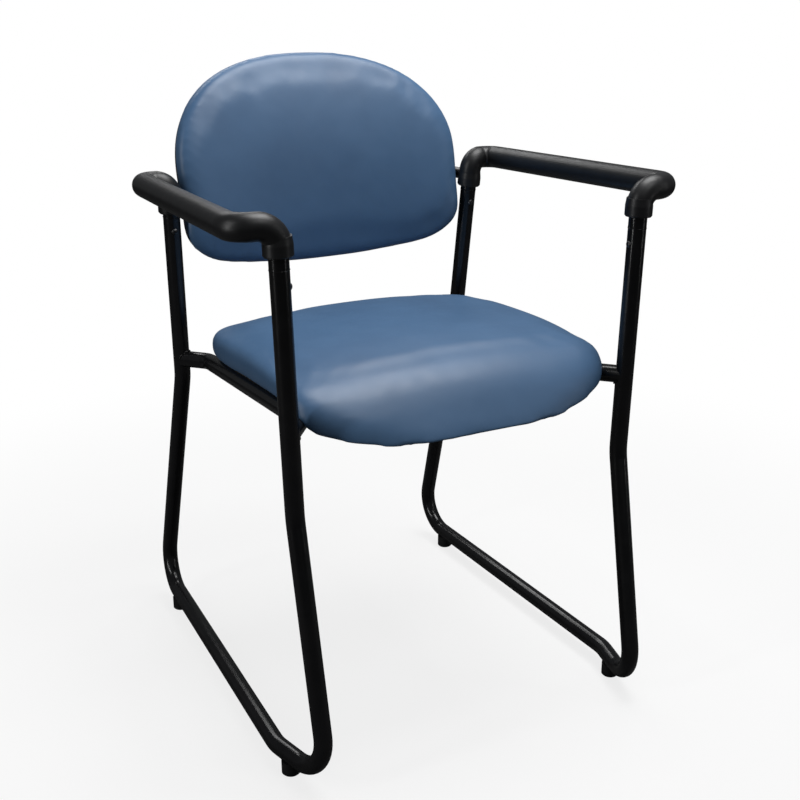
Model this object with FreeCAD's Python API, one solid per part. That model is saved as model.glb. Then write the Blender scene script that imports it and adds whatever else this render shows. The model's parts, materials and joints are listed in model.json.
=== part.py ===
import FreeCAD
import Part
import math
import os
from FreeCAD import Vector

# Sled base visitor chair, millimetres. X is the sitter's left-right line, the
# sitter faces -Y, Z is up, and the origin is on the floor under the middle.

# Steel tube of both side frames, the rails and the arm cores
tube_radius = 11.1
tube_wall = 1.6
bore_radius = tube_radius - tube_wall
weld_size = 1.7
weld_start_share = 0.6
weld_reach = 6.8
weld_host_reach = 30.0

# Glides under the runners
glide_height = 14.0
glide_radius = 11.5
glide_stem_radius = 4.0
glide_rear_y = 230.0
glide_front_y = -226.0
glide_saddle = 4.0
glide_bevel = 1.6
glide_stem_rise = 6.0
glide_stem_root = 2.0
runner_z = glide_height + tube_radius

# Centreline of the right-hand side frame, from the front top to the rear top
front_top = Vector(230, -236, 622)
front_kink = Vector(222, -234, 336)
front_floor = Vector(218, -298, runner_z)
runner_bend = Vector(243, -198, runner_z)
rear_floor = Vector(228, 301, runner_z)
rear_kink = Vector(217, 183, 384)
rear_top = Vector(225, 158, 612)
kink_radius = 90.0
front_floor_radius = 47.0
runner_bend_radius = 60.0
rear_floor_radius = 47.0

# Armrest: corners of its centreline, and the moulding round the core
arm_front_elbow = Vector(231.3, -236.3, 669)
arm_front_corner = Vector(277, -235, 669)
arm_rear_corner = Vector(261.5, 163, 657)
arm_rear_elbow = Vector(226.6, 153, 657)
arm_front_bend = 23.0
arm_front_corner_bend = 22.5
arm_rear_bend = 17.5
arm_radius = 15.5
socket_radius = 16.6
socket_length_front = 22.0
socket_length_rear = 20.0
socket_gap_front = 14.0
socket_gap_rear = 6.0
socket_lip = 1.5
socket_plain_share = 0.6

# Steel core of the arm: a thin rod between two plugs, with their screws
core_radius = 7.0
plug_rise_front = 22.0
plug_rise_rear = 36.0
spigot_depth = 32.0
spigot_screw_drop = 19.0
screw_head_radius = 4.0
screw_head_height = 2.4
screw_head_bevel = 1.1
screw_shank_radius = 2.0
screw_seat = 0.4
screw_past_middle = 2.0
spigot_overlap = 2.0

# Seat rails, rising towards the front, and the crossbars between them
rail_rear_z = 409.5
rail_front_z = 437.5
rail_x = 192.0
rail_rear_bend_y = 137.0
rail_front_bend_y = -187.0
rail_bend_radius = 32.0
rail_rear_lift = 4.0
rail_front_drop = 3.0
crossbar_radius = 9.5
crossbar_rear_y = 88.0
crossbar_front_y = -138.0

# Seat board, moulded down at its front, and the cloth under it
board_thickness = 10.0
board_half_width = 192.0
board_rear_y = 126.0
board_bend_y = -198.0
board_drop_radius = 75.0
board_drop_angle = 32.0
board_corner_radius = 60.0
board_front_radius = 262.0
board_front_centre_y = 15.0
cutter_drop = 100.0
cutter_length = 500.0
cover_half_width = 146.0
cover_rear_y = 120.0
cover_front_y = -170.0
cover_corner_radius = 40.0
dust_cover_thickness = 0.8

# Mounting tabs under the seat, and the fasteners
tab_thickness = 3.0
tab_length = 34.0
tab_inner_x = 150.0
tab_outer_x = 188.0
tab_corner_radius = 6.0
tab_from_crossbar = 36.0
bolt_radius = 3.0
bolt_head_radius = 6.0
bolt_head_height = 3.4
bolt_head_bevel = 1.2
bolt_recess_radius = 2.0
bolt_recess_depth = 2.0
bolt_end_gap = 1.5
tee_flange_radius = 9.5
tee_flange_thickness = 1.5
tee_barrel_radius = 4.2

# Back: its plane leans back by the recline and curves round the sitter
back_recline = 14.2
back_origin = Vector(0, 222.5, 670)
back_half_width = 211.4
back_curve_radius = 470.0
back_top_v = 144.5
back_bottom_v = -150.5
back_widest_v = -16.5
back_roundness = 2.24
foot_narrowing = 4.0
foot_roundness = 10.0
foot_corner = 2.0
foot_shares = (0.993, 0.96, 0.88, 0.68, 0.36)
top_steps = 6
prism_reach = 80.0
drum_margin = 60.0
barrel_margin = 12.0
cushion_rear_w = 12.0
cushion_crown = 30.0
cushion_side_drop = 16.0
cushion_end_drop = 8.0
cushion_edge_radius = 12.0
cushion_rear_radius = 5.0
back_board_thickness = 12.0
back_board_inset = 9.0
seam_turn = 100.0
shell_depth = 8.0
shell_wall = 3.0
shell_inset = 7.0
shell_edge_radius = 5.0
boss_radius = 7.0

# Back support bar behind the shell, and its two welded straps
bar_radius = 8.0
bar_z = 633.0
bar_corner = Vector(216, 205, bar_z)
bar_corner_radius = 24.0
bar_behind_shell = 3.2
tip_search = 100.0
tip_search_steps = 40
strap_x = 78.0
strap_width = 30.0
strap_height = 62.0
strap_corner_radius = 7.0
strap_hole_reach = 20.0
strap_rise = 5.0
strap_gap = 0.3
boss_gap = 1.0

# Brings the origin under the middle of the finished chair
middle_shift = Vector(0, 2.19, 0)

step_folder = "parts"
across = Vector(1, 0, 0)
near_zero = 0.05


def unit(vector):
    """The vector at length 1."""
    return vector * (1.0 / vector.Length)


def mirrored(shape):
    """The left-hand twin of a right-hand shape."""
    return shape.mirror(Vector(0, 0, 0), across)


def rounded_path(points, radii):
    """Straight runs joined by tangent arcs, one radius for each inner point."""
    edges = []
    start = points[0]
    for index, radius in enumerate(radii):
        corner = points[index + 1]
        back = unit(points[index] - corner)
        ahead = unit(points[index + 2] - corner)
        half = back.getAngle(ahead) / 2
        cut = radius / math.tan(half)
        arc_start = corner + back * cut
        arc_end = corner + ahead * cut
        inward = unit(back + ahead)
        middle = corner + inward * (radius / math.sin(half) - radius)
        if (arc_start - start).Length > near_zero:
            edges.append(Part.LineSegment(start, arc_start).toShape())
        edges.append(Part.Arc(arc_start, middle, arc_end).toShape())
        start = arc_end
    edges.append(Part.LineSegment(start, points[-1]).toShape())
    return Part.Wire(edges)


def swept(points, radii, section_radius):
    """A round bar that follows a rounded path."""
    path = rounded_path(points, radii)
    heading = unit(points[1] - points[0])
    ring = Part.Wire([Part.makeCircle(section_radius, points[0], heading)])
    return path.makePipeShell([ring], True, False)


def rod(start, end, radius):
    """A straight round bar between two points."""
    return Part.makeCylinder(radius, (end - start).Length, start, unit(end - start))


def upright_edges(shape):
    """The straight edges of a shape that run along Z."""
    return [edge for edge in shape.Edges if abs(edge.Vertexes[0].Z - edge.Vertexes[-1].Z) > near_zero]


def largest(shape):
    """The largest solid of a cut shape; what a cut leaves loose is dropped."""
    return max(shape.Solids, key=lambda solid: solid.Volume)


def on_line(start, end, height):
    """The point of a line at a given height."""
    share = (height - start.z) / (end.z - start.z)
    return start + (end - start) * share


def save(name, shape):
    """Write one node, after a test that its solids are sound."""
    if not shape.isValid():
        raise ValueError(name + " is not a valid shape")
    if not shape.Solids:
        raise ValueError(name + " holds no solid")
    shape.translated(middle_shift).exportStep(step_folder + "/" + name + ".step")
    print(name, len(shape.Solids), round(shape.Volume / 1000, 1), "cm3")


def save_pair(name, shape):
    """Write a right-hand node and its left-hand twin."""
    save("right_" + name, shape)
    save("left_" + name, mirrored(shape))


# Side frame: one bent tube, open at both tops
frame_points = [front_top, front_kink, front_floor, runner_bend, rear_floor, rear_kink, rear_top]
frame_radii = [kink_radius, front_floor_radius, runner_bend_radius, rear_floor_radius, kink_radius]


def runner_point(y):
    """The point of the runner's centreline at y."""
    first, second = runner_bend, rear_floor
    if y < runner_bend.y:
        first, second = front_floor, runner_bend
    share = (y - first.y) / (second.y - first.y)
    return first + (second - first) * share


frame_outer = swept(frame_points, frame_radii, tube_radius)
frame_bore = swept(frame_points, frame_radii, bore_radius)
front_glide_point = runner_point(glide_front_y)
rear_glide_point = runner_point(glide_rear_y)

# Joints of the arm core with the uprights, and the screws below them
front_axis = unit(front_top - front_kink)
rear_axis = unit(rear_top - rear_kink)
front_screw_point = front_top - front_axis * spigot_screw_drop
rear_screw_point = rear_top - rear_axis * spigot_screw_drop
front_screw_way = Vector(-1, 0, 0)
rear_screw_way = Vector(0, -1, 0)


def spigot_screw(point, way):
    """A bevelled self-tapping screw that bites into the spigot."""
    seat = point + way * (tube_radius - screw_seat)
    head = Part.makeCylinder(screw_head_radius, screw_head_height - screw_head_bevel, seat, way)
    bevel_start = seat + way * (screw_head_height - screw_head_bevel)
    top_radius = screw_head_radius - screw_head_bevel
    bevel = Part.makeCone(screw_head_radius, top_radius, screw_head_bevel, bevel_start, way)
    shank = rod(seat, point - way * screw_past_middle, screw_shank_radius)
    return head.fuse(bevel).fuse(shank).removeSplitter()


front_screw = spigot_screw(front_screw_point, front_screw_way)
rear_screw = spigot_screw(rear_screw_point, rear_screw_way)


def glide(point):
    """A moulded glide: saddle on top, soft bottom edge and a stem in the tube."""
    base = Vector(point.x, point.y, 0)
    body = Part.makeCylinder(glide_radius, glide_height + glide_saddle, base)
    bottom = [edge for edge in body.Edges if edge.CenterOfMass.z < near_zero and edge.Closed]
    body = body.makeChamfer(glide_bevel, bottom)
    body = body.cut(frame_outer)
    root = Vector(point.x, point.y, glide_height - glide_stem_root)
    tip = Vector(point.x, point.y, glide_height + tube_wall + glide_stem_rise)
    stem = rod(root, tip, glide_stem_radius)
    return body.fuse(stem).removeSplitter()


stem_holes = [
    rod(Vector(point.x, point.y, glide_stem_root), Vector(point.x, point.y, runner_z), glide_stem_radius)
    for point in (front_glide_point, rear_glide_point)
]
side_frame = frame_outer.cut(frame_bore)
for tool in stem_holes + [front_screw, rear_screw]:
    side_frame = side_frame.cut(tool)

# Seat rail: leaves the rear upright inwards, runs under the seat's edge and
# turns out again to the front upright
rail_points = [
    on_line(rear_kink, rear_top, rail_rear_z),
    Vector(rail_x, rail_rear_bend_y, rail_rear_z + rail_rear_lift),
    Vector(rail_x, rail_front_bend_y, rail_front_z - rail_front_drop),
    on_line(front_kink, front_top, rail_front_z),
]
rail_radii = [rail_bend_radius, rail_bend_radius]
rail_slope = (rail_points[2].z - rail_points[1].z) / (rail_points[2].y - rail_points[1].y)


def rail_axis_z(y):
    """Height of the rails' axis along their straight run."""
    return rail_points[1].z + rail_slope * (y - rail_points[1].y)


def seat_plane_z(y):
    """Height of the plane that rests on the rails."""
    return rail_axis_z(y) + tube_radius * math.sqrt(1 + rail_slope ** 2)


rail_outer = swept(rail_points, rail_radii, tube_radius)
rail_bore = swept(rail_points, rail_radii, bore_radius)
seat_rail = rail_outer.cut(rail_bore).cut(frame_outer)
seat_rail = largest(seat_rail)


def saddle_weld(bar_start, bar_end, tube_end_radius, host_start, host_end, host_radius, cutters):
    """The bead where a bar's end meets the side of another tube."""
    heading = unit(bar_end - bar_start)
    first = bar_start + heading * (host_radius * weld_start_share)
    last = bar_start + heading * (host_radius + weld_reach)
    sleeve = rod(first, last, tube_end_radius + weld_size)
    host = rod(host_start, host_end, host_radius + weld_size)
    bead = sleeve.common(host)
    for cutter in cutters:
        bead = bead.cut(cutter)
    return largest(bead)


rail_welds = []
for end, inner, low, high in (
    (rail_points[0], rail_points[1], rear_kink, rear_top),
    (rail_points[3], rail_points[2], front_kink, front_top),
):
    host_start = on_line(low, high, end.z - weld_host_reach)
    host_end = on_line(low, high, end.z + weld_host_reach)
    bead = saddle_weld(end, inner, tube_radius, host_start, host_end, tube_radius, [frame_outer, rail_outer])
    rail_welds.append(bead)


def crossbar(y):
    """A tube between the two rails, coped to them."""
    start = Vector(-rail_x, y, rail_axis_z(y))
    end = Vector(rail_x, y, rail_axis_z(y))
    bar = rod(start, end, crossbar_radius).cut(rod(start, end, crossbar_radius - tube_wall))
    bar = bar.cut(rail_outer).cut(mirrored(rail_outer))
    return largest(bar)


def crossbar_weld(y):
    """The bead at a crossbar's right-hand end."""
    end = Vector(rail_x, y, rail_axis_z(y))
    middle = Vector(0, y, rail_axis_z(y))
    low = Vector(rail_x, y - weld_host_reach, rail_axis_z(y - weld_host_reach))
    high = Vector(rail_x, y + weld_host_reach, rail_axis_z(y + weld_host_reach))
    cutters = [rail_outer, rod(middle, end, crossbar_radius)]
    return saddle_weld(end, middle, crossbar_radius, low, high, tube_radius, cutters)


def seat_tilted(shape, x, y):
    """Move a shape from the origin to the seat plane, tilted with it."""
    angle = math.degrees(math.atan(rail_slope))
    turned = shape.rotate(Vector(0, 0, 0), across, angle)
    return turned.translate(Vector(x, y, seat_plane_z(y)))


def seat_tab():
    """A drilled steel tab under the seat board, top face at the origin."""
    width = tab_outer_x - tab_inner_x
    plate = Part.makeBox(width, tab_length, tab_thickness, Vector(-width / 2, -tab_length / 2, -tab_thickness))
    free_corners = [edge for edge in upright_edges(plate) if edge.CenterOfMass.x < 0]
    plate = plate.makeFillet(tab_corner_radius, free_corners)
    hole = Part.makeCylinder(bolt_radius, tab_thickness * 2, Vector(0, 0, -tab_thickness * 1.5))
    return plate.cut(hole)


tab_x = (tab_inner_x + tab_outer_x) / 2
tab_places = [(tab_x, crossbar_rear_y - tab_from_crossbar), (tab_x, crossbar_front_y + tab_from_crossbar)]


def bolt(grip, reach):
    """A socket head bolt along Z: the origin is where it enters the board."""
    under = -grip
    flank = bolt_head_height - bolt_head_bevel
    head = Part.makeCylinder(bolt_head_radius, flank, Vector(0, 0, under - flank))
    bevel = Part.makeCone(bolt_head_radius - bolt_head_bevel, bolt_head_radius, bolt_head_bevel,
                          Vector(0, 0, under - bolt_head_height))
    recess = Part.makeCylinder(bolt_recess_radius, bolt_recess_depth, Vector(0, 0, under - bolt_head_height))
    shank = Part.makeCylinder(bolt_radius, grip + reach, Vector(0, 0, under))
    return head.fuse(bevel).cut(recess).fuse(shank).removeSplitter()


def tee_nut_room(thickness):
    """What a tee nut takes out of a board of this thickness."""
    flange = Part.makeCylinder(tee_flange_radius, tee_flange_thickness, Vector(0, 0, thickness - tee_flange_thickness))
    barrel = Part.makeCylinder(tee_barrel_radius, thickness)
    return flange.fuse(barrel)


def tee_nut(thickness):
    """A flanged nut driven into a board from its far side."""
    bore = Part.makeCylinder(bolt_radius, thickness)
    return tee_nut_room(thickness).cut(bore).removeSplitter()


# Seat: stations from rear to front, each as y, half width, height of the
# bottom over the seat plane, height of the widest line and of the crown
seat_stations = [
    (150, 122, 6, 19, 28),
    (143, 163, 3, 20.5, 39),
    (122, 193, 1.5, 22.5, 49),
    (82, 208.5, 1.5, 22.5, 55),
    (-20, 211.5, 1.5, 21.5, 58),
    (-110, 212, 1.5, 19.5, 53.5),
    (-165, 211.5, 1.5, 15, 44),
    (-198, 211, -1.5, 9, 34),
    (-222, 206, -14, -2.5, 23),
    (-246, 189, -23, -12, 9.5),
    (-268, 157, -28, -19, -7),
    (-284, 112, -30, -25, -18),
    (-292, 64, -30.5, -28.5, -26),
]
side_tuck = 16.0
tuck_limit = 0.9
roll_limit = 0.5
top_roll = 16.5
shoulder_share = 0.675


def seat_section(y, half_width, bottom, widest, crown):
    """One closed section of the seat: flat bottom, round sides, crowned top."""
    base = seat_plane_z(y)
    tuck = min(side_tuck, (widest - bottom) * tuck_limit)
    roll = min(top_roll, (crown - widest) * roll_limit)
    shoulder = widest + (crown - widest) * shoulder_share
    low_right = Vector(half_width - tuck, y, base + bottom)
    low_left = Vector(-half_width + tuck, y, base + bottom)
    top_right = Vector(half_width - roll, y, base + shoulder)
    top_left = Vector(-half_width + roll, y, base + shoulder)
    right = Vector(half_width, y, base + widest)
    left = Vector(-half_width, y, base + widest)
    top = Vector(0, y, base + crown)
    return Part.Wire([
        Part.LineSegment(low_left, low_right).toShape(),
        Part.Arc(low_right, right, top_right).toShape(),
        Part.Arc(top_right, top, top_left).toShape(),
        Part.Arc(top_left, left, low_left).toShape(),
    ])


seat_form = Part.makeLoft([seat_section(*station) for station in seat_stations], True, False)


def board_profile():
    """Side view of the moulded seat board: straight, then bent down in front."""
    rear = Vector(0, board_rear_y, seat_plane_z(board_rear_y))
    bend = Vector(0, board_bend_y, seat_plane_z(board_bend_y))
    forward = unit(Vector(0, -1, -rail_slope))
    normal = unit(Vector(0, -rail_slope, 1))
    centre = bend - normal * board_drop_radius
    faces = []
    for offset in (0, board_thickness):
        radius = board_drop_radius + offset
        points = [rear + normal * offset, bend + normal * offset]
        for angle in (board_drop_angle / 2, board_drop_angle):
            turn = math.radians(angle)
            points.append(centre + normal * (radius * math.cos(turn)) + forward * (radius * math.sin(turn)))
        faces.append(points)
    lower, upper = faces
    return Part.Wire([
        Part.LineSegment(lower[0], lower[1]).toShape(),
        Part.Arc(lower[1], lower[2], lower[3]).toShape(),
        Part.LineSegment(lower[3], upper[3]).toShape(),
        Part.Arc(upper[3], upper[2], upper[1]).toShape(),
        Part.LineSegment(upper[1], upper[0]).toShape(),
        Part.LineSegment(upper[0], lower[0]).toShape(),
    ])


def seat_board_shape():
    """The moulded board, cut to a rounded outline in plan."""
    slab = Part.Face(board_profile()).extrude(Vector(2 * board_half_width, 0, 0))
    slab.translate(Vector(-board_half_width, 0, 0))
    low = seat_plane_z(0) - cutter_drop
    corner = Vector(-board_half_width, board_rear_y - cutter_length, low)
    outline = Part.makeBox(2 * board_half_width, cutter_length, 2 * cutter_drop, corner)
    rear_corners = [edge for edge in upright_edges(outline) if edge.CenterOfMass.y > 0]
    outline = outline.makeFillet(board_corner_radius, rear_corners)
    front_disc = Part.makeCylinder(board_front_radius, 2 * cutter_drop, Vector(0, board_front_centre_y, low))
    return slab.common(outline).common(front_disc)


def dust_cover():
    """The thin cloth under the seat board."""
    length = cover_rear_y - cover_front_y
    corner = Vector(-cover_half_width, -length / 2, -dust_cover_thickness)
    sheet = Part.makeBox(2 * cover_half_width, length, dust_cover_thickness, corner)
    sheet = sheet.makeFillet(cover_corner_radius, upright_edges(sheet))
    return seat_tilted(sheet, 0, (cover_rear_y + cover_front_y) / 2)


seat_board = seat_board_shape()
seat_cushion = largest(seat_form.cut(seat_board).cut(rail_outer).cut(mirrored(rail_outer)))
seat_tabs = []
seat_bolts = []
seat_nuts = []
for x, y in tab_places:
    for side in (1, -1):
        seat_board = seat_board.cut(seat_tilted(tee_nut_room(board_thickness), x * side, y))
        seat_nuts.append(seat_tilted(tee_nut(board_thickness), x * side, y))
        seat_bolts.append(seat_tilted(bolt(tab_thickness, board_thickness - bolt_end_gap), x * side, y))
    tab = seat_tilted(seat_tab(), x, y).cut(rail_outer)
    seat_tabs += [tab, mirrored(tab)]

# Arm: steel core with a plug at each end, and the grip moulded round it
arm_points = [front_top, arm_front_elbow, arm_front_corner, arm_rear_corner, arm_rear_elbow, rear_top]
arm_radii = [arm_front_bend, arm_front_corner_bend, arm_rear_bend, arm_rear_bend]
front_rise = unit(arm_front_elbow - front_top)
rear_rise = unit(arm_rear_elbow - rear_top)
plug_places = [
    (front_top, front_axis, front_rise, plug_rise_front),
    (rear_top, rear_axis, rear_rise, plug_rise_rear),
]
arm_core = swept(arm_points, arm_radii, core_radius)
for joint, drop_axis, rise_axis, rise in plug_places:
    collar = rod(joint, joint + rise_axis * rise, tube_radius)
    spigot = rod(joint - drop_axis * spigot_depth, joint + rise_axis * spigot_overlap, bore_radius)
    arm_core = arm_core.fuse(collar.cut(frame_outer)).fuse(spigot)
arm_core = arm_core.cut(side_frame).cut(front_screw).cut(rear_screw)
arm_core = largest(arm_core.removeSplitter())


def socket(joint, way, gap, whole_length):
    """The swollen end of the grip: a plain mouth, then a taper into the arm."""
    mouth = joint + way * gap
    lip = Part.makeCone(socket_radius - socket_lip, socket_radius, socket_lip, mouth, way)
    plain_length = whole_length * socket_plain_share
    plain = Part.makeCylinder(socket_radius, plain_length - socket_lip, mouth + way * socket_lip, way)
    neck = mouth + way * plain_length
    taper = Part.makeCone(socket_radius, arm_radius, whole_length - plain_length, neck, way)
    return lip.fuse(plain).fuse(taper)


grip_points = [front_top + front_rise * socket_gap_front] + arm_points[1:-1] + [rear_top + rear_rise * socket_gap_rear]
grip = swept(grip_points, arm_radii, arm_radius)
grip = grip.fuse(socket(front_top, front_rise, socket_gap_front, socket_length_front))
grip = grip.fuse(socket(rear_top, rear_rise, socket_gap_rear, socket_length_rear))

# Back: points of its own frame are u across, v up along it and w rearwards
recline = math.radians(back_recline)
back_up = Vector(0, math.sin(recline), math.cos(recline))
back_rear = Vector(0, math.cos(recline), -math.sin(recline))
board_front_w = cushion_rear_w - back_board_thickness
shell_rear_w = cushion_rear_w + shell_depth


def back_flat(u, v, w):
    """A point of the back's own frame, before the back is curved."""
    return back_origin + across * u + back_up * v + back_rear * w


def back_half_width_at(v, inset=0.0):
    """Half width of the back's outline: a superellipse over a squarer foot."""
    if v >= back_widest_v:
        reach = back_top_v - back_widest_v - inset
        share = min(1.0, (v - back_widest_v) / reach)
        return (back_half_width - inset) * (1 - share ** back_roundness) ** (1 / back_roundness)
    reach = back_widest_v - back_bottom_v - inset
    share = min(1.0, (back_widest_v - v) / reach)
    width = back_half_width - foot_narrowing * share - inset
    return width * (1 - share ** foot_roundness) ** (1 / foot_corner)


def back_outline(inset, w):
    """The back's outline as a smooth closed curve in a plane."""
    drop = back_widest_v - back_bottom_v - inset
    rise = back_top_v - back_widest_v - inset
    heights = [back_widest_v - drop * share for share in foot_shares] + [back_widest_v]
    for step in range(1, top_steps):
        share = math.sin(math.pi / 2 * step / top_steps) ** (2 / back_roundness)
        heights.append(back_widest_v + rise * share)
    points = [back_flat(back_half_width_at(v, inset), v, w) for v in heights]
    twins = [back_flat(-back_half_width_at(v, inset), v, w) for v in reversed(heights)]
    top = back_flat(0, back_top_v - inset, w)
    foot = back_flat(0, back_bottom_v + inset, w)
    curve = Part.BSplineCurve()
    curve.interpolate([foot] + points + [top] + twins, True)
    return Part.Wire([curve.toShape()])


def back_drum(w):
    """The upright drum whose side is the curved face at w."""
    foot = back_flat(0, back_bottom_v - drum_margin, -back_curve_radius)
    height = back_top_v - back_bottom_v + 2 * drum_margin
    drum = Part.makeCylinder(back_curve_radius + w, height, foot, back_up)
    return drum.rotate(foot, back_up, seam_turn)


def back_prism(inset):
    """The back's outline, inset, as a straight prism through the back."""
    return Part.Face(back_outline(inset, -prism_reach)).extrude(back_rear * (2 * prism_reach))


def curved_slab(inset, near, far):
    """The back's outline, inset, between the curved faces w = near and far."""
    return back_prism(inset).common(back_drum(far)).cut(back_drum(near))


def rim_edges(shape, w):
    """The edges of a shape that lie on its curved face at w."""
    found = []
    for edge in shape.Edges:
        middle = edge.valueAt((edge.FirstParameter + edge.LastParameter) / 2)
        place = middle - back_origin
        flat = Vector(place.dot(across), place.dot(back_rear) + back_curve_radius, 0)
        if abs(flat.Length - back_curve_radius - w) < near_zero:
            found.append(edge)
    return found


def cushion_front():
    """The barrel whose side is the crowned front face of the back cushion."""
    depth = back_curve_radius - math.sqrt(back_curve_radius ** 2 - back_half_width ** 2)
    side_forward = depth - cushion_side_drop
    radius = back_half_width ** 2 / (2 * side_forward)
    half_height = (back_top_v - back_bottom_v) / 2
    middle_v = (back_top_v + back_bottom_v) / 2
    crown_radius = half_height ** 2 / (2 * cushion_end_drop)
    reach = half_height + barrel_margin
    end_w = crown_radius - math.sqrt(crown_radius ** 2 - reach ** 2) - cushion_crown
    axis_w = -cushion_crown - radius
    foot = back_flat(0, middle_v - reach, axis_w)
    top = back_flat(0, middle_v + reach, axis_w)
    low = back_flat(0, middle_v - reach, end_w)
    high = back_flat(0, middle_v + reach, end_w)
    profile = Part.Wire([
        Part.LineSegment(foot, low).toShape(),
        Part.Arc(low, back_flat(0, middle_v, -cushion_crown), high).toShape(),
        Part.LineSegment(high, top).toShape(),
        Part.LineSegment(top, foot).toShape(),
    ])
    barrel = Part.Face(profile).revolve(foot, back_up, 360)
    return barrel.rotate(foot, back_up, seam_turn)


def front_rim(shape):
    """The edges round the front face of the back cushion."""
    toroid = [face for face in shape.Faces if isinstance(face.Surface, Part.Toroid)]
    return [edge for face in toroid for edge in face.Edges]


back_cushion = back_prism(0).common(back_drum(cushion_rear_w)).cut(cushion_front())
back_cushion = largest(back_cushion)
back_cushion = back_cushion.makeFillet(cushion_edge_radius, front_rim(back_cushion))
back_cushion = back_cushion.makeFillet(cushion_rear_radius, rim_edges(back_cushion, cushion_rear_w))
back_board = curved_slab(back_board_inset, board_front_w, cushion_rear_w)
back_cushion = largest(back_cushion.cut(back_board))

# Back shell: a shallow tray behind the board, with a boss at each bolt
shell_outer = curved_slab(shell_inset, cushion_rear_w, shell_rear_w)
shell_outer = shell_outer.makeFillet(shell_edge_radius, rim_edges(shell_outer, shell_rear_w))
shell_inner = curved_slab(shell_inset + shell_wall, cushion_rear_w, shell_rear_w - shell_wall)
back_shell = shell_outer.cut(shell_inner)


def back_placed(shape, u, v, w):
    """Move a shape from the origin to the back, its Z axis pointing forward."""
    angle = math.asin(u / back_curve_radius)
    outward = back_rear * -math.cos(angle) - across * math.sin(angle)
    sideways = across * math.cos(angle) - back_rear * math.sin(angle)
    turn = FreeCAD.Rotation(sideways * -1, back_up, outward, "ZXY")
    placed = shape.copy()
    spot = back_flat(0, v, -back_curve_radius) - outward * (back_curve_radius + w)
    placed.Placement = FreeCAD.Placement(spot, turn)
    return placed


def strap():
    """A plate between the bar and the shell, front face at the origin."""
    corner = Vector(-strap_width / 2, -strap_height / 2, -tab_thickness)
    plate = Part.makeBox(strap_width, strap_height, tab_thickness, corner)
    plate = plate.makeFillet(strap_corner_radius, upright_edges(plate))
    for way in (1, -1):
        under = Vector(0, way * strap_hole_reach, -tab_thickness * 1.5)
        hole = Part.makeCylinder(bolt_radius, tab_thickness * 2, under)
        plate = plate.cut(hole)
    return plate


# The back hangs on two straps: bolts pass through strap, shell and board
strap_middle_v = (bar_z - back_origin.z) / math.cos(recline) + strap_rise
strap_w = shell_rear_w + strap_gap
back_straps = [back_placed(strap(), side * strap_x, strap_middle_v, strap_w) for side in (1, -1)]
back_bolts = []
back_nuts = []
for side in (1, -1):
    for way in (1, -1):
        spot = (side * strap_x, strap_middle_v + way * strap_hole_reach, cushion_rear_w)
        grip_length = tab_thickness + strap_w - cushion_rear_w
        back_bolts.append(back_placed(bolt(grip_length, back_board_thickness - bolt_end_gap), *spot))
        back_nuts.append(back_placed(tee_nut(back_board_thickness), *spot))
        back_board = back_board.cut(back_placed(tee_nut_room(back_board_thickness), *spot))
        boss = Part.makeCylinder(boss_radius, shell_depth - boss_gap, Vector(0, 0, boss_gap - shell_depth))
        drill = Part.makeCylinder(bolt_radius, shell_depth * 2, Vector(0, 0, -shell_depth * 1.5))
        back_shell = back_shell.fuse(back_placed(boss, *spot)).cut(back_placed(drill, *spot))

# Back support bar: leaves each arm core rearwards and bends round the shell
bar_end = on_line(rear_top, arm_rear_elbow, bar_z)
shell_back = back_flat(0, (bar_z - back_origin.z) / math.cos(recline), strap_w + tab_thickness)
bar_middle_y = shell_back.y + bar_radius + bar_behind_shell
bar_sweep_radius = back_curve_radius + strap_w + bar_radius


def bar_tip_y():
    """Where the bar's two straight runs would meet, for its middle height."""
    low = bar_middle_y
    high = bar_middle_y + tip_search
    for _ in range(tip_search_steps):
        tip = (low + high) / 2
        turn = math.atan((tip - bar_corner.y) / bar_corner.x)
        arc_middle = tip - bar_sweep_radius * (1 / math.cos(turn) - 1)
        if arc_middle < bar_middle_y:
            low = tip
        else:
            high = tip
    return tip


bar_points = [
    Vector(-bar_end.x, bar_end.y, bar_z),
    Vector(-bar_corner.x, bar_corner.y, bar_z),
    Vector(0, bar_tip_y(), bar_z),
    bar_corner,
    bar_end,
]
bar_radii = [bar_corner_radius, bar_sweep_radius, bar_corner_radius]
bar_outer = swept(bar_points, bar_radii, bar_radius)
bar_bore = swept(bar_points, bar_radii, bar_radius - tube_wall)
support_bar = bar_outer.cut(bar_bore).cut(arm_core).cut(mirrored(arm_core))
support_bar = largest(support_bar)
grip = largest(grip.cut(arm_core).cut(bar_outer))

os.makedirs(step_folder, exist_ok=True)
save_pair("side_frame", side_frame)
save_pair("seat_rail", seat_rail)
save_pair("armrest_grip", grip)
save_pair("arm_core", arm_core)
save("back_support_bar", support_bar)
save("rear_seat_crossbar", crossbar(crossbar_rear_y))
save("front_seat_crossbar", crossbar(crossbar_front_y))
for place, point in (("front", front_glide_point), ("rear", rear_glide_point)):
    save_pair(place + "_glide", glide(point))
save("arm_core_screws", Part.Compound([front_screw, rear_screw, mirrored(front_screw), mirrored(rear_screw)]))
save("seat_rail_welds", Part.Compound(rail_welds + [mirrored(bead) for bead in rail_welds]))
beads = [crossbar_weld(crossbar_rear_y), crossbar_weld(crossbar_front_y)]
save("crossbar_welds", Part.Compound(beads + [mirrored(bead) for bead in beads]))
save("seat_mounting_tabs", Part.Compound(seat_tabs))
save("seat_bolts", Part.Compound(seat_bolts))
save("seat_tee_nuts", Part.Compound(seat_nuts))
save("seat_board", seat_board)
save("seat_cushion", seat_cushion)
save("seat_dust_cover", dust_cover())
save("back_cushion", back_cushion)
save("back_board", back_board)
save("back_shell", back_shell)
save("back_straps", Part.Compound(back_straps))
save("back_bolts", Part.Compound(back_bolts))
save("back_tee_nuts", Part.Compound(back_nuts))
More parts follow.
